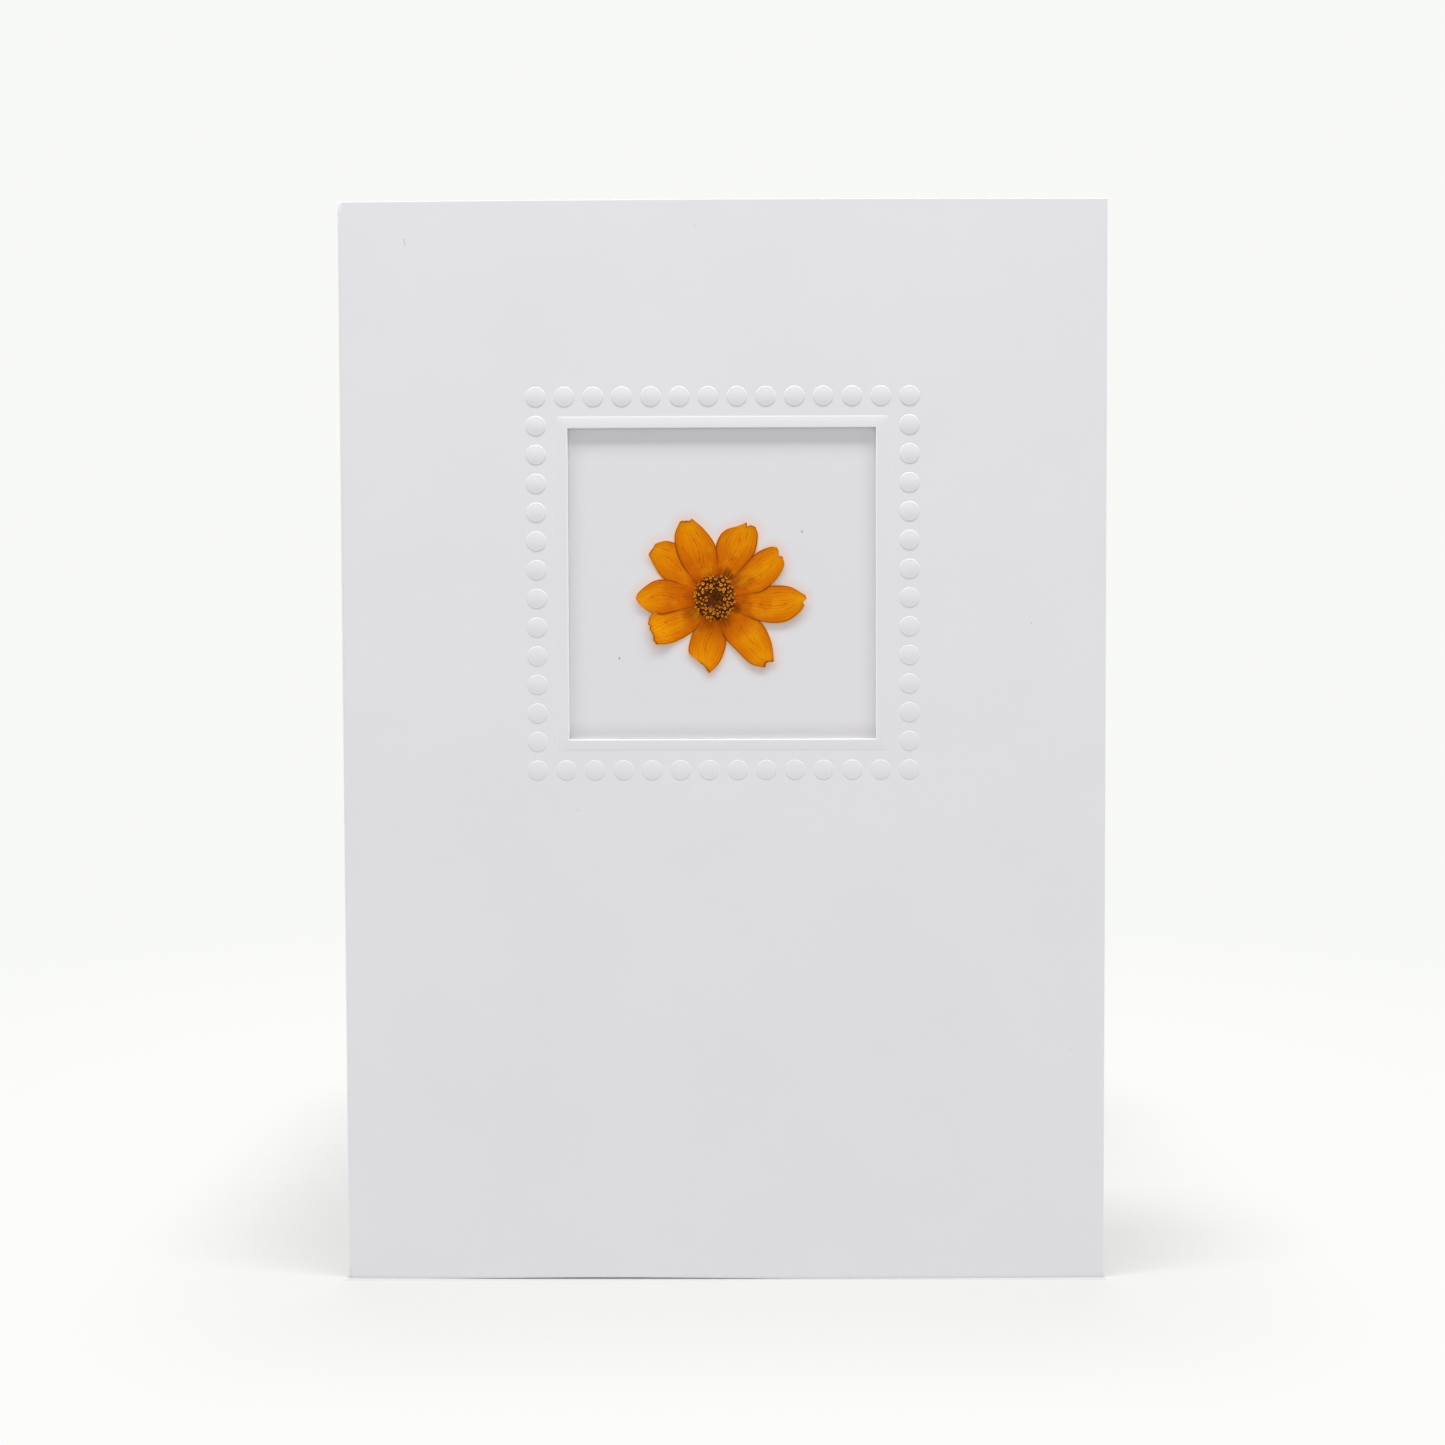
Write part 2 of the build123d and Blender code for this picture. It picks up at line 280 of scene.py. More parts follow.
class Finish:
    # the nodes of one material or of the world, and the few ways they are made
    def __init__(self, owner):
        self.owner = owner
        owner.use_nodes = True
        self.tree = owner.node_tree
        self.tree.nodes.clear()

    def socket(self, sockets, key):
        if isinstance(key, int):
            return sockets[key]
        return next(s for s in sockets if key in (s.identifier, s.name))

    def node(self, kind, settings=None, values=None):
        node = self.tree.nodes.new("ShaderNode" + kind)
        for name, value in (settings or {}).items():
            if name == "stops":
                stops = node.color_ramp.elements
                while len(stops) < len(value):
                    stops.new(1)
                for stop, (position, colour) in zip(stops, value):
                    stop.position, stop.color = position, tone(*colour)
            else:
                setattr(node, name, value)
        for key, value in (values or {}).items():
            socket = self.socket(node.inputs, key)
            if isinstance(value, Wire):
                self.tree.links.new(value.socket, socket)
            else:
                socket.default_value = value
        return node

    def add(self, kind, settings=None, values=None, output=0):
        return Wire(self, self.socket(self.node(kind, settings, values).outputs, output))

    def place(self, kind="Object"):
        return self.add("TexCoord", output=kind)

    def split(self, vector):
        outputs = self.node("SeparateXYZ", values={0: vector}).outputs
        return [Wire(self, outputs[axis]) for axis in range(3)]

    def noise(self, place, scale, detail=3, rough=.5, stretch=(1, 1, 1)):
        if stretch != (1, 1, 1):
            place = self.add("Mapping", values={"Vector": place, "Scale": stretch})
        return self.add("TexNoise", values={
            "Vector": place, "Scale": scale, "Detail": detail, "Roughness": rough})

    def attribute(self, name):
        return self.add("Attribute", dict(attribute_name=name), output="Fac")

    def ramp(self, factor, stops):
        return self.add("ValToRGB", dict(stops=stops), {"Fac": factor}, "Color")

    def blend(self, factor, first, second):
        return self.add("Mix", dict(data_type="RGBA", blend_type="MIX"), {
            "Factor_Float": factor, "A_Color": first, "B_Color": second}, "Result_Color")

    def coat(self, colour, layers):
        # lays colours over each other, each through a mask and a share of it
        for mask, share, shade in layers:
            colour = self.blend(mask * share, colour, tone(*shade))
        return colour

    def bump(self, height, distance, strength=1):
        return self.add("Bump", values={
            "Height": height, "Distance": distance, "Strength": strength})

    def seen(self):
        # 1 where the picture, a reflection or something clear shows the surface
        outputs = self.node("LightPath").outputs
        camera, glossy, clear = [Wire(self, outputs[name]) for name in (
            "Is Camera Ray", "Is Glossy Ray", "Is Transmission Ray")]
        return camera.most(glossy).most(clear)

    def gloss(self, colour, roughness, sheen, normal=None):
        values = {"Base Color": colour, "Roughness": roughness, "Specular IOR Level": sheen}
        if normal:
            values["Normal"] = normal
        return self.add("BsdfPrincipled", values=values)

    def surface(self, shader, kind="Material"):
        self.node("Output" + kind, values={"Surface": shader})
        return self.owner


def newFinish(name):
    return Finish(bpy.data.materials.new(name))


def cover(piece, material):
    piece.data.materials.clear()
    piece.data.materials.append(material)


paper = dict(
    cardTone=(239.6, 238.7, 242), cardShade=(238.4, 237, 241.4),
    backingTone=(236.3, 235.1, 238.2),
    cloudScale=45, fibreScale=2600, fibreDepth=.006 * mm, roughness=.8, sheen=.12,
    fibreTone=(214, 213, 217), fibreShare=.05,
    markTone=(120, 116, 118), markSquash=.4, markCore=.3,   # marks taller than wide, soft rims
    cutHighlight=.2 * mm, outlineHighlight=.09 * mm,    # how far the painted highlight reaches in from the cuts
    edgeHighlightTone=(249, 249, 250), highlightFade=.8,
    paintedSideShade=.12, paintedLowShade=.5, paintedShadeReach=3.4 * mm,    # painted shade along the opening's inner edges, light at the sides, stronger at the bottom
    paintedShadeTone=(196, 192, 200),
    # painted glow: the petals' orange light painted on the paper, and a painted bright halo line
    # about them, by millimetres from them
    paintedGlowTone=(252, 198, 180), paintedGlowShare=.44, paintedGlowReach=2, paintedGlowScale=300,
    paintedHaloTone=(255, 228, 200), paintedHaloReach=(.3, .46),
)
# marks on the paper: place across and up in millimetres, size and how dark
cardMarks = [
    (-52.0, 171.75, .16, .3), (-51.9, 171.3, .17, .3), (-51.8, 170.85, .15, .3),
    (2.9, 57.7, .1, .2), (-4.3, 173.8, .1, .25), (50.7, 108.8, .14, .3),
    (48.9, 147.8, .09, .2), (-24.1, 78.3, .12, .3), (-27.7, 76.8, .09, .25),
    (-61.3, 134.8, .1, .2), (57.4, 38.2, .12, .25), (-31.1, 145.2, .1, .3),
]
backingMarks = [(13.0, 124.0, .2, .5), (-17.1, 103.3, .17, .75), (-24.9, 144.4, .2, .2)]


def frontOnly(back, depth):
    # 1 on what stands at the front, 0 from this depth behind the fold on
    return 1 - back.ease(foldSkinY + depth, foldSkinY + depth + .1 * mm)


def buildPaper(name, base, shade, marks):
    finish = newFinish(name)
    place = finish.place()
    across, back, up = finish.split(place)
    cloud = finish.noise(place, paper["cloudScale"], detail=4)
    fibre = finish.noise(place, paper["fibreScale"], detail=4, rough=.65)
    inFront = frontOnly(back, 1.5 * mm)
    layers = [(fibre.ease(.62, .8), paper["fibreShare"], paper["fibreTone"])]
    for x, z, size, dark in marks:
        aside, above = across - x * mm, up - z * mm
        spot = aside * aside + above * above * paper["markSquash"]
        rim = spot.ease((size * mm * paper["markCore"]) ** 2, (size * mm) ** 2)
        layers.append(((1 - rim) * inFront, dark, paper["markTone"]))
    colour = finish.blend(cloud.ease(.3, .7), tone(*base), tone(*shade))
    return finish, (across, back, up), fibre, finish.coat(colour, layers)


def paperSurface(finish, colour, fibre):
    return finish.surface(finish.gloss(colour, paper["roughness"], paper["sheen"],
                                       finish.bump(fibre, paper["fibreDepth"])))


def outsideBy(across, up, middle, size):
    # how far a place lies outside a rectangle on the panel, from its middle and size
    sideways = (across - middle[0]).size() - size[0] / 2
    upwards = (up - middle[1]).size() - size[1] / 2
    return sideways.most(upwards)


def buildCardPaper():
    finish, (across, back, up), fibre, colour = buildPaper(
        "smoothWhiteCard", paper["cardTone"], paper["cardShade"], cardMarks)
    # the pressed cut edges of the window and the card's outline are painted whiter, a painted
    # highlight where they catch the light
    hole = outsideBy(across, up, (window["register"], windowHeight),
                     (window["width"], window["height"]))
    outline = outsideBy(across, up, (0, cardSheet["height"] / 2),
                        (cardSheet["width"], cardSheet["height"]))
    inFront = frontOnly(back, 1 * mm)
    atHole = 1 - hole.ease(paper["cutHighlight"] * paper["highlightFade"], paper["cutHighlight"])
    atEdge = outline.ease(-paper["outlineHighlight"], -paper["outlineHighlight"] * paper["highlightFade"])
    colour = finish.coat(colour, [((atHole * inFront).most(atEdge), 1, paper["edgeHighlightTone"])])
    return paperSurface(finish, colour, fibre * inFront)


def buildBackingPaper():
    finish, (across, _, up), fibre, colour = buildPaper(
        "backingPaper", paper["backingTone"], paper["backingTone"], backingMarks)
    distance = finish.attribute("petalDistance")
    wash = finish.noise(finish.place(), paper["paintedGlowScale"], detail=2)
    inward = window["width"] / 2 - (across - window["register"]).size()
    upward = up - (windowHeight - window["height"] / 2)
    # painted shade: the paper is darkened towards the opening's sides and more towards its
    # bottom, on the front only
    shade = ((1 - inward.ease(0, paper["paintedShadeReach"])) * paper["paintedSideShade"]
             + (1 - upward.ease(0, paper["paintedShadeReach"])) * paper["paintedLowShade"])
    isFront = 1 - distance.ease(backing["behind"] - 9, backing["behind"] - 1)
    # painted glow of the petals' light on the paper, then the painted bright halo line at their
    # edges
    glow = (1 - distance.ease(0, paper["paintedGlowReach"])) * (.5 + wash * .5)
    colour = finish.coat(colour, [
        (shade * isFront, 1, paper["paintedShadeTone"]),
        (glow, paper["paintedGlowShare"], paper["paintedGlowTone"]),
        (1 - distance.ease(*paper["paintedHaloReach"]), 1, paper["paintedHaloTone"])])
    return paperSurface(finish, colour, fibre)


# the folded sheet

def bowDepth(x):
    # how far the bowed panel lies behind its crown
    return bowRadius - sqrt(bowRadius ** 2 - x ** 2)


def beadCell():
    # one bead in a square of flat card, so that copies tile
    radius, step, rise = bead["radius"], bead["stepHeight"], bead["height"] - bead["stepHeight"]
    shoulder = radius - bead["stepRun"]
    domeReach = shoulder - bead["ledge"]
    bpy.ops.mesh.primitive_circle_add(vertices=bead["segments"], radius=radius,
                                      rotation=(pi / 2, 0, 0))
    cell = bpy.context.object
    applyPlace()
    # a steep wall, a flat ledge and a low round dome
    profile = [(radius - run * bead["stepRun"], up * step) for run, up in bead["stepProfile"]]
    profile += [(shoulder, step), (domeReach, step)]
    for ring in range(1, bead["domeSteps"]):
        part = ring / bead["domeSteps"]
        profile.append((domeReach * (1 - part), step + rise * (1 - (1 - part) ** 2)))
    editMode()
    width, depth = radius, 0
    for nextWidth, nextDepth in profile:
        growEdge(scale=(nextWidth / width,) * 3, about=(0, -depth, 0),
                 move=(0, depth - nextDepth, 0))
        width, depth = nextWidth, nextDepth
    closeEnd()
    choose(cell, isRim)
    for scale in bead["flatRings"]:
        growEdge(scale=(scale,) * 3)
    half = bead["pitch"] / 2
    for vertex in bmesh.from_edit_mesh(cell.data).verts:
        if vertex.select:
            vertex.co *= half / max(abs(vertex.co.x), abs(vertex.co.z))
    bmesh.update_edit_mesh(cell.data)
    objectMode()
    return cell


def beadFrame():
    cell = beadCell()
    reach = bead["pitch"] * (bead["perSide"] - 1) / 2
    copies = []
    for step in range(bead["perSide"] - 1):
        run = -reach + step * bead["pitch"]
        for x, z in ((run, reach), (reach, -run), (-run, -reach), (-reach, run)):
            twin = copyPiece(cell)
            twin.location = (x, 0, windowHeight + z)
            copies.append(twin)
    bpy.data.objects.remove(cell)
    sheet = pick(*copies)
    bpy.ops.object.join()
    applyPlace()
    editMode()
    bpy.ops.mesh.select_all(action="SELECT")
    bpy.ops.mesh.remove_doubles(threshold=bead["weldGap"])
    objectMode()
    return sheet


def squareLoop(reach):
    # test for the vertices on a square about the window's middle
    def test(vertex):
        x, z = abs(vertex.co.x), abs(vertex.co.z - windowHeight)
        return abs(max(x, z) - reach) < hair
    return test


def isBottomCut(vertex):
    across, up = abs(vertex.co.x), vertex.co.z - windowHeight
    return (up < 0 and abs(up + window["height"] / 2) < hair
            and across < window["width"] / 2 + abs(window["register"]) + hair)


def pressBand(sheet):
    # from the inner row of bead cells up the cambered band to the cut window
    run, inner = window["bandWidth"], bead["pitch"] * (bead["perSide"] - 2) / 2
    choose(sheet, squareLoop(inner))
    width = window["width"] / 2 + run + window["rimRing"]
    height = window["height"] / 2 + run + window["rimRing"]
    growEdge(scale=(width / inner, 1, height / inner), about=(0, 0, windowHeight))
    shift, depth = 0, 0
    parts = [step / window["bandSteps"] for step in range(window["bandSteps"] + 1)]
    for part in sorted(parts + [window["rimRun"] / run, 1 - window["lipRun"] / run]):
        nextWidth = window["width"] / 2 + run * (1 - part)
        nextHeight = window["height"] / 2 + run * (1 - part)
        nextDepth = window["rimStep"] * min(1, part * run / window["rimRun"])
        nextDepth += window["bandRise"] * (1 - (1 - part) ** 2)
        nextShift = window["register"] * part
        growEdge(scale=(nextWidth / width, 1, nextHeight / height),
                 about=(shift, 0, windowHeight), move=(nextShift - shift, depth - nextDepth, 0))
        width, height, shift, depth = nextWidth, nextHeight, nextShift, nextDepth
    # towards the bottom the sheet was pressed less
    for vertex in bmesh.from_edit_mesh(sheet.data).verts:
        up = vertex.co.z - windowHeight
        isBand = max(abs(vertex.co.x), abs(up)) < inner - hair
        least = (window if isBand else bead)["lowerPress"]
        vertex.co.y *= least + (1 - least) * smoothStep(-inner, inner, up)
    choose(sheet, isBottomCut)
    bpy.ops.transform.translate(value=(0, window["lipDrop"], 0))


def spreadPanel(sheet):
    # from the outer row of bead cells out to the panel's outline
    reach = bead["pitch"] * bead["perSide"] / 2
    choose(sheet, squareLoop(reach))
    goalX, goalZ = (halfRight + panelLeft) / 2, cardSheet["height"] / 2
    goalWide, goalHigh = (halfRight - panelLeft) / 2, cardSheet["height"] / 2
    x, z, wide, high = 0, windowHeight, reach, reach
    parts = [step / cardSheet["panelSteps"] for step in range(1, cardSheet["panelSteps"])]
    for part in parts + [1 - cardSheet["edgeRing"] / (goalWide - reach), 1]:
        nextX = goalX * part
        nextZ = windowHeight + (goalZ - windowHeight) * part
        nextWide = reach + (goalWide - reach) * part
        nextHigh = reach + (goalHigh - reach) * part
        growEdge(scale=(nextWide / wide, 1, nextHigh / high), about=(x, 0, z),
                 move=(nextX - x, 0, nextZ - z))
        x, z, wide, high = nextX, nextZ, nextWide, nextHigh


def foldOver(sheet):
    # the left edge is spun round the fold and drawn out into the back panel
    axis = Vector((panelLeft + cardSheet["foldRadius"] * sin(foldTurn),
                   foldSkinY + foldBack, 0))
    choose(sheet, lambda v: abs(v.co.x - panelLeft) < hair)
    bpy.ops.mesh.spin(steps=cardSheet["foldSteps"], angle=pi - opening - foldTurn,
                      center=axis, axis=(0, 0, 1))
    outwards = Vector((cos(opening), sin(opening), 0))
    stride = (backLength - cardSheet["edgeRing"]) / cardSheet["panelSteps"]
    for length in [stride] * cardSheet["panelSteps"] + [cardSheet["edgeRing"]]:
        growEdge(move=outwards * length)


def buildCard():
    sheet = beadFrame()
    editMode()
    pressBand(sheet)
    spreadPanel(sheet)
    objectMode()
    # the flat front panel is rolled back over its bow
    for vertex in sheet.data.vertices:
        vertex.co.y += crownY + bowDepth(vertex.co.x)
    editMode()
    foldOver(sheet)
    bpy.ops.mesh.select_all(action="SELECT")
    bpy.ops.mesh.remove_doubles(threshold=cardSheet["weldGap"])
    faceOutwards()
    objectMode()
    plainSpot = Vector((50 * mm, crownY, 20 * mm))
    faceViewer(sheet, min(sheet.data.polygons, key=lambda f: (f.center - plainSpot).length))
    addModifier(sheet, "SOLIDIFY", thickness=cardSheet["stock"], offset=-1)
    addModifier(sheet, "BEVEL", width=cardSheet["edgeRound"], segments=cardSheet["edgeSteps"],
                limit_method="ANGLE", angle_limit=radians(cardSheet["edgeAngle"]))
    # left of its middle, the front panel's bottom edge lifts a hair off the table
    for vertex in sheet.data.vertices:
        if vertex.co.z < cardSheet["stock"] and vertex.co.y < foldSkinY + cardSheet["stock"]:
            near = 1 - abs(vertex.co.x - cardSheet["footMiddle"]) / cardSheet["footReach"]
            vertex.co.z += cardSheet["footLift"] * smoothStep(0, 1, near)
    return finishPiece(sheet, "foldedSheet", ["card"])


foldedSheet = buildCard()
print("folded sheet:", len(foldedSheet.data.polygons), "faces")


# outlines of the pressed flower

flower = dict(
    petalThickness=.03 * mm, layerGap=.008 * mm, lift=.05 * mm, liftReach=14 * mm,
    clawHalf=.75 * mm, rootAt=1.2 * mm,
    alongSteps=44, acrossSteps=30, rimSteps=40,
    halfWidest=4 * mm,                 # no place in a petal is farther from its rim
    curlFrom=.62, curlTo=1.05,         # shares of the length where a tip curls up
    waveHeight=.035 * mm, waveSize=3.2 * mm, waveFrom=3.6 * mm, waveFull=6 * mm,
    fray=.2 * mm, frayCount=8, frayFrom=.86,     # how ragged the tips are
)
# each petal in millimetres along and across its own axis; lift curls its tip off the paper
petals = {
    "petal_upper_left": dict(
        angle=140, layer=0, lift=.05,
        left=[(5.0, 2.2), (8.4, 3.0), (10.8, 2.4)],
        tip=[(12.9, 1.5), (12.9, 0.6), (13.1, -0.6)],
        right=[(12.0, -2.1), (10.0, -2.9), (7.5, -2.8), (4.8, -1.7)]),
    "petal_top_right": dict(
        angle=66, layer=0, lift=.04,
        left=[(4.4, 2.1), (8.1, 3.3), (10.6, 3.0)],
        tip=[(12.4, 1.1), (13.4, 0.1), (12.7, -0.2), (13.3, -0.6), (13.3, -1.5)],
        right=[(12.0, -2.5), (9.0, -3.1), (5.0, -2.0)]),
    "petal_lower_left": dict(
        angle=-148, layer=0, lift=.3,
        left=[(4.2, 2.5), (6.2, 2.9), (8.8, 2.8), (10.4, 2.4)],
        tip=[(12.3, 1.4), (12.2, 0.7), (11.8, -0.2), (11.8, -1.2), (11.5, -1.7),
             (11.5, -2.2), (11.0, -2.8)],
        right=[(9.6, -3.4), (7.0, -3.0), (4.6, -1.9)]),
    "petal_top": dict(
        angle=110, layer=1, lift=.04,
        left=[(5.3, 2.7), (8.6, 3.3), (11.7, 2.7)],
        tip=[(13.7, 1.0), (13.5, 0.3), (13.2, -0.5), (13.4, -1.0)],
        right=[(11.0, -2.3), (8.0, -3.1), (5.0, -2.4)]),
    "petal_left": dict(
        angle=178, layer=1, lift=.15,
        left=[(5.7, 2.2), (8.4, 3.0), (10.6, 2.7)],
        tip=[(12.4, 1.3), (12.9, 0.6)],
        right=[(12.4, -0.6), (10.1, -2.4), (7.6, -2.7), (5.0, -1.9)]),
    "petal_bottom": dict(
        angle=-97, layer=1, lift=.08,
        left=[(4.5, 2.0), (6.7, 2.8), (8.9, 2.6), (10.8, 1.9)],
        tip=[(12.4, 0.6), (11.2, -0.5), (10.4, -1.8)],
        right=[(9.3, -3.2), (6.5, -3.0), (4.6, -2.1)]),
    "petal_lower_right": dict(
        angle=-51, layer=2, lift=.04,
        left=[(5.0, 2.6), (8.4, 3.4), (11.6, 2.6)],
        tip=[(14.2, 1.0), (14.1, 0.5), (13.6, 0.1), (14.1, -0.9)],
        right=[(12.1, -2.3), (9.0, -2.7), (6.6, -2.9), (4.4, -2.3)]),
    "petal_right": dict(
        angle=-4, layer=3, lift=.08,
        left=[(5.0, 1.6), (9.0, 2.6), (12.2, 2.6)],
        tip=[(14.8, 1.4), (15.1, 0.8), (14.4, 0.2), (14.8, -0.3)],
        right=[(14.1, -1.5), (11.9, -3.2), (8.6, -3.5), (5.2, -2.5)]),
    "petal_upper_right": dict(
        angle=32, layer=4, lift=.03,
        left=[(4.8, 1.3), (9.2, 2.5), (12.0, 2.2)],
        tip=[(13.1, 1.4), (12.6, 0.1), (13.0, -0.3)],
        right=[(12.4, -1.7), (10.1, -2.9), (7.2, -3.3), (5.0, -2.4)]),
}
discLow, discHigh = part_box("flower_disc")
# from the flower's own frame (right, up, towards the viewer) to the card's
flowerPlace = Matrix((
    (1, 0, 0, (discLow.x + discHigh.x) / 2),
    (0, 0, -1, discHigh.y),
    (0, 1, 0, (discLow.z + discHigh.z) / 2),
    (0, 0, 0, 1)))
saucer = (flower["liftReach"] ** 2 + flower["lift"] ** 2) / (2 * flower["lift"])
layerStep = flower["petalThickness"] + flower["layerGap"]


def straightPath(points, part):
    # point on the straight cuts between points, part from 0 to 1
    place = part * (len(points) - 1)
    first = min(int(place), len(points) - 2)
    return points[first].lerp(points[first + 1], place - first)


def smoothPath(points, part):
    # point on a smooth curve through the points
    place = part * (len(points) - 1)
    first = min(int(place), len(points) - 2)
    t = place - first
    a, b = points[first], points[first + 1]
    before = points[first - 1] if first else a * 2 - b
    after = points[first + 2] if first + 2 < len(points) else b * 2 - a
    slopeA, slopeB = (b - before) / 2, (after - a) / 2
    return (a * (2 * t ** 3 - 3 * t ** 2 + 1) + slopeA * (t ** 3 - 2 * t ** 2 + t)
            + b * (3 * t ** 2 - 2 * t ** 3) + slopeB * (t ** 3 - t ** 2))


def petalSpot(petal, u, w):
    # point of a petal in the flower's plane: u from root to tip, w from its right to its left
    rootAt, claw = flower["rootAt"], flower["clawHalf"]
    leftRoot, rightRoot = Vector((rootAt, claw)), Vector((rootAt, -claw))
    tip = [Vector(p) * mm for p in petal["tip"]]
    left = [leftRoot] + [Vector(p) * mm for p in petal["left"]] + [tip[0]]
    right = [rightRoot] + [Vector(p) * mm for p in reversed(petal["right"])] + [tip[-1]]
    sides = smoothPath(right, u).lerp(smoothPath(left, u), w)
    ends = rightRoot.lerp(leftRoot, w).lerp(straightPath(tip[::-1], w), u)
    corners = rightRoot.lerp(tip[-1], u).lerp(leftRoot.lerp(tip[0], u), w)
    spot = sides + ends - corners
    ragged = noise.noise(Vector((w * flower["frayCount"], petal["angle"], 0)))
    spot.x += flower["fray"] * ragged * smoothStep(flower["frayFrom"], 1, u)
    turn = radians(petal["angle"])
    return Vector((spot.x * cos(turn) - spot.y * sin(turn),
                   spot.x * sin(turn) + spot.y * cos(turn)))


def petalRim(petal):
    parts = [step / flower["rimSteps"] for step in range(flower["rimSteps"])]
    return ([petalSpot(petal, u, 0) for u in parts] + [petalSpot(petal, 1, w) for w in parts]
            + [petalSpot(petal, 1 - u, 1) for u in parts])


rims = {name: petalRim(petal) for name, petal in petals.items()}


def insideRim(rim, spot):
    inside = False
    for a, b in zip(rim, rim[1:] + rim[:1]):
        if (a.y > spot.y) != (b.y > spot.y):
            if spot.x < a.x + (b.x - a.x) * (spot.y - a.y) / (b.y - a.y):
                inside = not inside
    return inside


def addNumbers(piece, name, numbers):
    # a number for each vertex, which a material reads as an attribute
    layer = piece.data.attributes.new(name, "FLOAT", "POINT")
    layer.data.foreach_set("value", numbers)


def rimDistance(spots):
    # distance from each spot to the nearest petal edge, 0 under a petal
    tree = KDTree(sum(len(rim) for rim in rims.values()))
    for count, spot in enumerate(spot for rim in rims.values() for spot in rim):
        tree.insert(spot.to_3d(), count)
    tree.balance()
    found = []
    for spot in spots:
        distance = tree.find(spot.to_3d())[2]
        if distance < flower["halfWidest"] and any(insideRim(rim, spot) for rim in rims.values()):
            distance = 0
        found.append(distance)
    return found


# sheet behind the window

backing = dict(
    width=84 * mm, height=86 * mm, stock=.25 * mm,
    fineReach=17.5 * mm, fineSteps=200,   # dense middle, round the flower
    coarseSteps=5,
    backRing=.9,      # size of the last ring behind, as a share of the dense middle
    behind=99,        # stands for the distance to the petals on the sheet's back
)
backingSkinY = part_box("backing_sheet")[0].y


def buildBacking():
    reach, steps = backing["fineReach"], backing["fineSteps"]
    middle = flowerPlace.translation
    bpy.ops.mesh.primitive_grid_add(x_subdivisions=steps, y_subdivisions=steps, size=2 * reach,
                                    location=(middle.x, 0, middle.z), rotation=(pi / 2, 0, 0))
    sheet = bpy.context.object
    applyPlace()
    editMode()
    choose(sheet, isRim)
    # out to the sheet's edge, over it, and back in behind
    halfWide, halfHigh = backing["width"] / 2, backing["height"] / 2
    outward = [step / backing["coarseSteps"] for step in range(1, backing["coarseSteps"] + 1)]
    x, z, wide, high = middle.x, middle.z, reach, reach
    for part in outward + outward[-2::-1] + [-backing["backRing"] * reach / halfWide]:
        nextX, nextZ = middle.x * (1 - part), middle.z + (windowHeight - middle.z) * part
        nextWide = reach + (halfWide - reach) * part
        nextHigh = reach + (halfHigh - reach) * part
        growEdge(scale=(nextWide / wide, 1, nextHigh / high), about=(x, 0, z),
                 move=(nextX - x, 0, nextZ - z))
        x, z, wide, high = nextX, nextZ, nextWide, nextHigh
        if part == 1:
            growEdge(move=(0, backing["stock"], 0))
    closeEnd()
    faceOutwards()
    objectMode()
    toFlower = flowerPlace.inverted()
    distances = rimDistance([(toFlower @ v.co).to_2d() for v in sheet.data.vertices])
    # the stain is on the front only
    stains = [backing["behind"] if v.co.y > backing["stock"] / 2 else distance / mm
              for v, distance in zip(sheet.data.vertices, distances)]
    addNumbers(sheet, "petalDistance", stains)
    for vertex in sheet.data.vertices:
        vertex.co.y += backingSkinY + bowDepth(vertex.co.x)
    return finishPiece(sheet, "backingSheet", ["backing_sheet"])


# petals

def waveAt(spot):
    # the same soft cockle for all petals, in two sizes, so that they stay apart
    place = (spot / flower["waveSize"]).to_3d()
    swell = .5 + .5 * noise.noise(place) + .25 * noise.noise(place * 2.3)
    start = smoothStep(flower["waveFrom"], flower["waveFull"], spot.length)
    return flower["waveHeight"] * max(0, swell) * start


def buildPetal(name, petal):
    bpy.ops.mesh.primitive_grid_add(x_subdivisions=flower["alongSteps"],
                                    y_subdivisions=flower["acrossSteps"], size=1)
    blade = bpy.context.object
    rest = flower["layerGap"] + petal["layer"] * layerStep
    below = [rims[other] for other, shape in petals.items() if shape["layer"] < petal["layer"]]
    covers = []
    for vertex in blade.data.vertices:
        u, w = vertex.co.x + .5, vertex.co.y + .5
        spot = petalSpot(petal, u, w)
        curl = petal["lift"] * mm * smoothStep(flower["curlFrom"], flower["curlTo"], u)
        height = rest + spot.length_squared / (2 * saucer) + waveAt(spot) + curl
        vertex.co = flowerPlace @ Vector((spot.x, spot.y, height))
        covers.append(sum(insideRim(rim, spot) for rim in below))
    addNumbers(blade, "petalsBelow", covers)
    editMode()
    faceOutwards()
    objectMode()
    faceViewer(blade, blade.data.polygons[0])
    addModifier(blade, "SOLIDIFY", thickness=flower["petalThickness"], offset=1)
    return finishPiece(blade, name.replace("petal_", "petal").title().replace("_", ""),
                       [name])


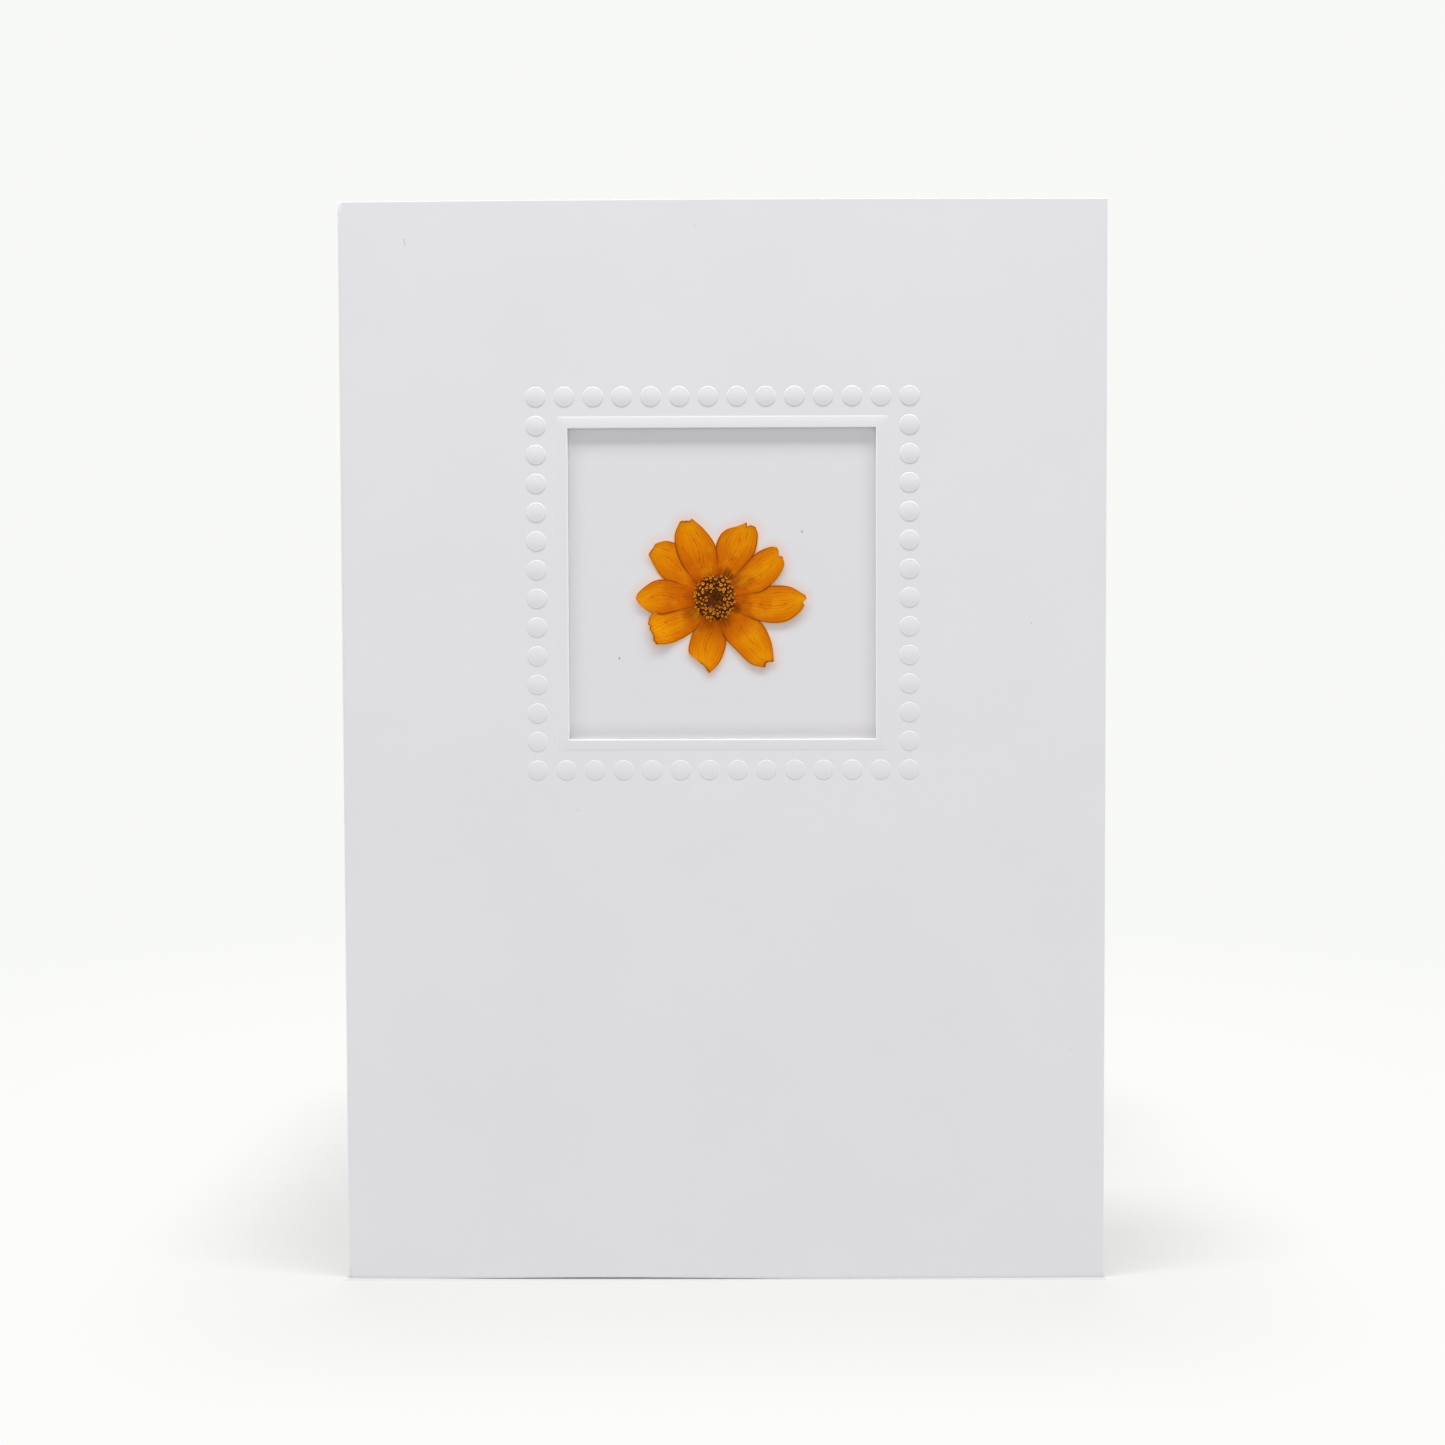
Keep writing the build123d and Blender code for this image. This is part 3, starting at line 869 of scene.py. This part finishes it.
# places right and up of the flower's middle in millimetres, radius and how dark
bruises = [
    (1.7, 3.9, 1.7, .7), (2.9, 2.5, 1.6, .65), (3.2, -1.8, 1.5, .85), (4.9, -.3, 1.0, .4),
    (-3.6, -2.3, 2.0, .5), (-.9, -4.0, 1.5, .2), (1.6, -4.0, 1.5, .4), (-4.0, .2, 1.4, .4),
    (-2.8, 2.5, 1.2, .4), (5.0, 2.6, 1.5, .3),
]
petalLook = dict(
    # tones from the root to the tip
    tones=[(0, (196, 86, 0)), (.3, (222, 112, 0)), (.6, (238, 138, 0)), (.88, (244, 154, 0)),
           (1, (232, 138, 4))],
    cloudScale=420, blotchScale=480,
    grainStretch=(1.8, 46, 1),                        # streaks along the petal
    veins=10, wander=2.6, wanderStretch=(2.5, 7, 1),  # how far the veins stray
    roughness=.62, sheen=.05, relief=.05 * mm, reliefShare=.7,
)


def bruiseMask(finish, place):
    # dark bruises about the disc
    right, _, up = finish.split(place)
    bruise = 0
    for x, z, size, dark in bruises:
        aside = right - (flowerPlace.translation.x + x * mm)
        above = up - (flowerPlace.translation.z + z * mm)
        spread = (aside * aside + above * above).ease(0, (size * mm) ** 2)
        bruise = (1 - spread) * dark + bruise
    return bruise.least(1)


def buildPetalFinish():
    finish = newFinish("driedPetal")
    flat, place = finish.place("UV"), finish.place()
    along, across, _ = finish.split(flat)
    below = finish.attribute("petalsBelow").least(1)
    cloud = finish.noise(place, petalLook["cloudScale"], detail=4)
    blotch = finish.noise(place, petalLook["blotchScale"], detail=5, rough=.7)
    wander = finish.noise(flat, 1, detail=2, stretch=petalLook["wanderStretch"])
    grain = finish.noise(flat, 1, detail=4, rough=.6, stretch=petalLook["grainStretch"])
    # fine veins that close up towards the root
    wave = (across * petalLook["veins"] + wander * petalLook["wander"]) * (2 * pi)
    vein = wave.sine().ease(.82, 1) * blotch.ease(.2, .5)
    side = across.least(1 - across)
    offRoot = along.ease(.16, .34)
    stain = (blotch * .6 + grain * .4).ease(.48, .64) * (1 - along.ease(.3, .56))
    streak = grain.ease(.38, .58) * .85 + blotch.ease(.35, .6) * .2
    tipSide = 1 - along + cloud * .05 - .025
    edge = (1 - tipSide.ease(.012, .034)).most((1 - side.ease(.022, .05)) * offRoot)
    paintedHalo = (1 - side.ease(.004, .014)) * offRoot * (1 - below)
    colour = finish.coat(finish.ramp(along, petalLook["tones"]), [
        (cloud.ease(.45, .72), .45, (250, 172, 6)),
        (grain.ease(.48, .72), .3, (206, 100, 0)),
        (below, .45, (216, 104, 0)),                        # other petals show through
        (vein, .55, (180, 74, 0)),
        (1 - side.ease(.03, .34), .45, (206, 94, 0)),       # deeper towards the sides
        (stain, .3, (130, 62, 4)),
        (bruiseMask(finish, place) * streak, 1, (84, 34, 2)),
        (edge, .85, (146, 64, 2)),
        (paintedHalo, .7, (252, 184, 120))])      # painted halo: the rim painted pale where it lies on the paper, as the bright halo line reaches onto the petal
    return finish.surface(finish.gloss(
        colour, petalLook["roughness"], petalLook["sheen"],
        finish.bump(grain * .6 + cloud * .6 - vein * .5, petalLook["relief"],
                    petalLook["reliefShare"])))


# disc and florets

disc = dict(
    segments=60,
    # radius and height above the paper
    profile=[(2.4, 0), (2.4, .3), (3.0, .3), (3.25, .33), (3.3, .38), (3.1, .44), (2.6, .47),
             (2.0, .47), (1.45, .45), (1.0, .42), (.6, .36), (.25, .34)],
    tall=1.1,    # the disc is this much taller than wide
    bumpsAbove=.34 * mm, bumpHeight=.05 * mm, bumpScale=2600, uneven=.05, unevenScale=3,
    smooth=50,
    # tones from the grain's dark parts to its light ones
    tones=[(.3, (54, 24, 4)), (.52, (94, 46, 8)), (.7, (160, 90, 24))],
    grainScale=2600, roughness=.75, sheen=.06, relief=.08 * mm,
)
floret = dict(
    lobes=5,
    # radius of each ring and how far its florets sit off the flower's centre
    rings={"inner_florets": (1.45, .2, -.25), "middle_florets": (2.15, .1, -.1),
           "outer_florets": (2.95, 0, 0)},
    spacing=.82, base=.42, scatter=.24, turns=.5, budOut=.38, budAside=(.35, .65),
    openSize=(.62, 1.05), budSize=(.5, .8), squash=(.7, 1), tall=(.75, 1),
    lean=.22, leanRange=(-.4, 1),
    # radius and height of one floret, from its foot over its lip down its throat
    profile=[(.12, 0), (.14, .12), (.2, .24), (.26, .3), (.27, .34), (.23, .355), (.17, .33),
             (.12, .24), (.08, .16)],
    lobeDepth=.16, lobesAbove=.2,
    # painted shade inside each floret's throat and at its foot, where it meets the disc
    throatReach=.18, throatAbove=.1, throatFade=(.1, .32), paintedFootShade=.6, footFade=(0, .2),
    smooth=50,
    tone=(230, 126, 18), lightTone=(250, 170, 58), paleTone=(240, 192, 96),
    paintedFloretShadeTone=(96, 44, 4), grainScale=3500, roughness=.55, sheen=.12,
)
tape = dict(tone=(226, 222, 206), hazeTone=(216, 211, 192), hazeScale=700, roughness=.38,
            sheen=.45)


def startRing(segments, profile):
    # a circle in edit mode, drawn out through the profile, which is in millimetres
    profile = [(radius * mm, height * mm) for radius, height in profile]
    bpy.ops.mesh.primitive_circle_add(vertices=segments, radius=profile[0][0])
    editMode()
    growProfile(profile)
    return bpy.context.object


def closeFoot(piece):
    choose(piece, isRim)
    bpy.ops.mesh.edge_face_add()
    faceOutwards()
    objectMode()


def buildDisc():
    core = startRing(disc["segments"], disc["profile"])
    closeEnd()
    closeFoot(core)
    for vertex in core.data.vertices:
        if vertex.co.z > disc["bumpsAbove"]:
            vertex.co.z += disc["bumpHeight"] * noise.noise(vertex.co * disc["bumpScale"])
        roundness = noise.noise(vertex.co.normalized() * disc["unevenScale"])
        uneven = 1 + disc["uneven"] * roundness
        vertex.co.x, vertex.co.y = vertex.co.x * uneven, vertex.co.y * uneven * disc["tall"]
    core.data.transform(flowerPlace)
    return finishPiece(core, "flowerDisc", ["flower_disc"], smooth=disc["smooth"])


def floretShape():
    # one floret with five lobes, modelled upright at the origin
    tube = startRing(2 * floret["lobes"], floret["profile"])
    bpy.ops.mesh.edge_face_add()
    closeFoot(tube)
    # painted shade: darker deep in the throat and at the foot
    throat = []
    for vertex in tube.data.vertices:
        reach, up = hypot(vertex.co.x, vertex.co.y) / mm, vertex.co.z / mm
        bearing = atan2(vertex.co.y, vertex.co.x)
        lobe = 1 + floret["lobeDepth"] * cos(floret["lobes"] * bearing)
        if up > floret["lobesAbove"]:
            vertex.co.x, vertex.co.y = vertex.co.x * lobe, vertex.co.y * lobe
        inside = reach < floret["throatReach"] and up > floret["throatAbove"]
        throat.append(1 - smoothStep(*floret["throatFade"], up) if inside
                      else floret["paintedFootShade"] * (1 - smoothStep(*floret["footFade"], up)))
    addNumbers(tube, "throat", throat)
    return tube


def setFloret(pattern, bearing, reach, offset, size):
    # one floret of its own size and lean, on the disc
    twin = copyPiece(pattern)
    spot = Vector((reach * cos(bearing) + offset[0],
                   reach * sin(bearing) * disc["tall"] + offset[1], floret["base"])) * mm
    lean = Matrix.Rotation(bearing, 4, "Z") @ Matrix.Rotation(
        random.uniform(*floret["leanRange"]) * floret["lean"], 4, "Y") @ Matrix.Rotation(
        random.uniform(0, 2 * pi), 4, "Z")
    twin.data.transform(flowerPlace @ Matrix.Translation(spot) @ lean @ Matrix.Diagonal(
        (size, size * random.uniform(*floret["squash"]), random.uniform(*floret["tall"]), 1)))
    addNumbers(twin, "pale", [random.random()] * len(twin.data.vertices))
    return twin


def buildFlorets(pattern, name, radius, offset):
    # open florets round the ring, with smaller buds between and outside them
    count = int(2 * pi * radius / floret["spacing"])
    copies = []
    for turn in range(count):
        bearing = 2 * pi * (turn + random.uniform(-.5, .5) * floret["turns"]) / count
        reach = radius + random.uniform(-1, 1) * floret["scatter"]
        copies.append(setFloret(pattern, bearing, reach, offset,
                                random.uniform(*floret["openSize"])))
        bearing += random.uniform(*floret["budAside"]) * 2 * pi / count
        reach = radius + floret["budOut"] + random.uniform(-1, 1) * floret["scatter"]
        copies.append(setFloret(pattern, bearing, reach, offset,
                                random.uniform(*floret["budSize"])))
    ring = pick(*copies)
    bpy.ops.object.join()
    return finishPiece(ring, name.title().replace("_", ""), [name],
                       smooth=floret["smooth"])


def buildDiscFinish():
    finish = newFinish("driedDisc")
    grain = finish.noise(finish.place(), disc["grainScale"], detail=3, rough=.7)
    return finish.surface(finish.gloss(finish.ramp(grain, disc["tones"]), disc["roughness"],
                                       disc["sheen"], finish.bump(grain, disc["relief"])))


def buildFloretFinish():
    finish = newFinish("driedFloret")
    throat, pale = finish.attribute("throat"), finish.attribute("pale")
    grain = finish.noise(finish.place(), floret["grainScale"], detail=2)
    colour = finish.blend(grain.ease(.3, .7), tone(*floret["tone"]), tone(*floret["lightTone"]))
    # about a tenth of the florets are paler; painted shade darkens each floret's throat and foot
    colour = finish.coat(colour, [(pale.ease(.9, 1), .6, floret["paleTone"]),
                                  (throat, 1, floret["paintedFloretShadeTone"])])
    return finish.surface(finish.gloss(colour, floret["roughness"], floret["sheen"]))


def buildTapeFinish():
    finish = newFinish("doubleSidedTape")
    haze = finish.noise(finish.place(), tape["hazeScale"], detail=3)
    colour = finish.blend(haze.ease(.35, .65), tone(*tape["tone"]), tone(*tape["hazeTone"]))
    return finish.surface(finish.gloss(colour, tape["roughness"], tape["sheen"]))


cover(foldedSheet, buildCardPaper())
backingSheet = buildBacking()
cover(backingSheet, buildBackingPaper())
print("backing sheet:", len(backingSheet.data.polygons), "faces")

petalFinish = buildPetalFinish()
for name, petal in petals.items():
    cover(buildPetal(name, petal), petalFinish)
print("petals:", len(petals))

cover(buildDisc(), buildDiscFinish())
floretFinish = buildFloretFinish()
pattern = floretShape()
for name, (radius, *offset) in floret["rings"].items():
    cover(buildFlorets(pattern, name, radius, offset), floretFinish)
bpy.data.objects.remove(pattern)
print("disc and florets")

tapeFinish = buildTapeFinish()
for name in ("tape_top", "tape_bottom", "tape_left", "tape_right"):
    cover(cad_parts[name], tapeFinish)


# studio

studio = dict(
    keySize=(1.2, .085), keyDistance=.7, keyElevation=80.5, keyWatts=10.4,
    backSize=(2.4, 1.4), backDistance=2, backElevation=40, backWatts=16,
    skyLight=.55, backdrop=(248, 249.5, 246.5), floorGlow=(252, 252.6, 249.6),
    floorTone=(180, 180, 179), bounceTone=(172, 172, 171), floorSize=8,
    floorRoughness=.9, floorSheen=.1,
    # the floor glows like the backdrop: by a share at the card, wholly farther out
    flatShare=.4, fadeStart=4 * mm, fadeEnd=50 * mm, farEnd=300 * mm,
    # a narrow strip under the front panel doesn't glow: where it starts and ends
    stripStart=(-.2 * mm, .3 * mm), stripEnd=(1.5 * mm, 3 * mm), stripSide=.5 * mm,
)
photoCamera = dict(
    place=(1.01 * mm, -283.42 * mm, 99.54 * mm), lens=36.12, sensor=36, clip=(.01, 30),
    aim=(-.0048869, .99957343, -.02879361), up=(.00331608, .02880999, .99957941),
)


def buildFloor():
    bpy.ops.mesh.primitive_plane_add(size=studio["floorSize"])
    floor = bpy.context.object
    finish = newFinish("paleFloor")
    across, back, _ = finish.split(finish.place())
    sideways = (across.size() - firstBounds[1].x).most(0)
    backwards = (back.size() - firstBounds[1].y).most(0)
    reach = (sideways * sideways + backwards * backwards).root()
    seen = finish.seen()
    # the light that the table throws back on the card is a little lower than its own tone
    colour = finish.blend(seen, tone(*studio["bounceTone"]), tone(*studio["floorTone"]))
    lit = finish.gloss(colour, studio["floorRoughness"], studio["floorSheen"])
    glow = finish.blend(reach.ease(studio["fadeEnd"], studio["farEnd"]),
                        tone(*studio["floorGlow"]), tone(*studio["backdrop"]))
    flat = finish.add("Emission", values={"Color": glow})
    # a dark line of contact under the front panel
    under = back - firstBounds[0].y
    contact = (under.ease(*studio["stripStart"]) * (1 - under.ease(*studio["stripEnd"]))
               * (1 - sideways.ease(0, studio["stripSide"])))
    fade = seen * (1 - contact) * (reach.ease(studio["fadeStart"], studio["fadeEnd"])
                                   * (1 - studio["flatShare"]) + studio["flatShare"])
    cover(floor, finish.surface(finish.add("MixShader", values={0: fade, 1: lit, 2: flat})))
    floor.name = "floor"


def buildWorld():
    world = bpy.context.scene.world or bpy.data.worlds.new("studio")
    bpy.context.scene.world = world
    finish = Finish(world)
    sky = finish.add("Background", values={
        "Color": (1, 1, 1, 1), "Strength": studio["skyLight"]})
    backdrop = finish.add("Background", values={"Color": tone(*studio["backdrop"])})
    finish.surface(finish.add("MixShader", values={0: finish.seen(), 1: sky, 2: backdrop}),
                   "World")


def addSoftBox(name, bearing, size, distance, elevation, watts):
    # a soft box turned towards the window; it stands in front of the card at bearing 0
    rise, turn = radians(elevation), radians(bearing)
    away = Vector((cos(rise) * sin(turn), -cos(rise) * cos(turn), sin(rise))) * distance
    bpy.ops.object.light_add(type="AREA", location=Vector((0, crownY, windowHeight)) + away)
    lamp = bpy.context.object
    lamp.rotation_euler = (pi / 2 - rise, 0, turn)
    lamp.data.shape = "RECTANGLE"
    lamp.data.size, lamp.data.size_y = size
    lamp.data.energy = watts
    lamp.name = name


def buildCamera():
    aim, up = Vector(photoCamera["aim"]).normalized(), Vector(photoCamera["up"])
    side = aim.cross(up).normalized()
    up = side.cross(aim)
    bpy.ops.object.camera_add()
    camera = bpy.context.object
    camera.matrix_world = Matrix.Translation(photoCamera["place"]) @ Matrix(
        (side, up, -aim)).transposed().to_4x4()
    camera.data.lens, camera.data.sensor_width = photoCamera["lens"], photoCamera["sensor"]
    camera.data.clip_start, camera.data.clip_end = photoCamera["clip"]
    bpy.context.scene.camera = camera


buildFloor()
buildWorld()
addSoftBox("overheadStrip", 0, studio["keySize"], studio["keyDistance"],
           studio["keyElevation"], studio["keyWatts"])
addSoftBox("backSoftBox", 180, studio["backSize"], studio["backDistance"],
           studio["backElevation"], studio["backWatts"])
buildCamera()
bpy.context.scene.view_settings.view_transform = "Standard"
print("studio set")
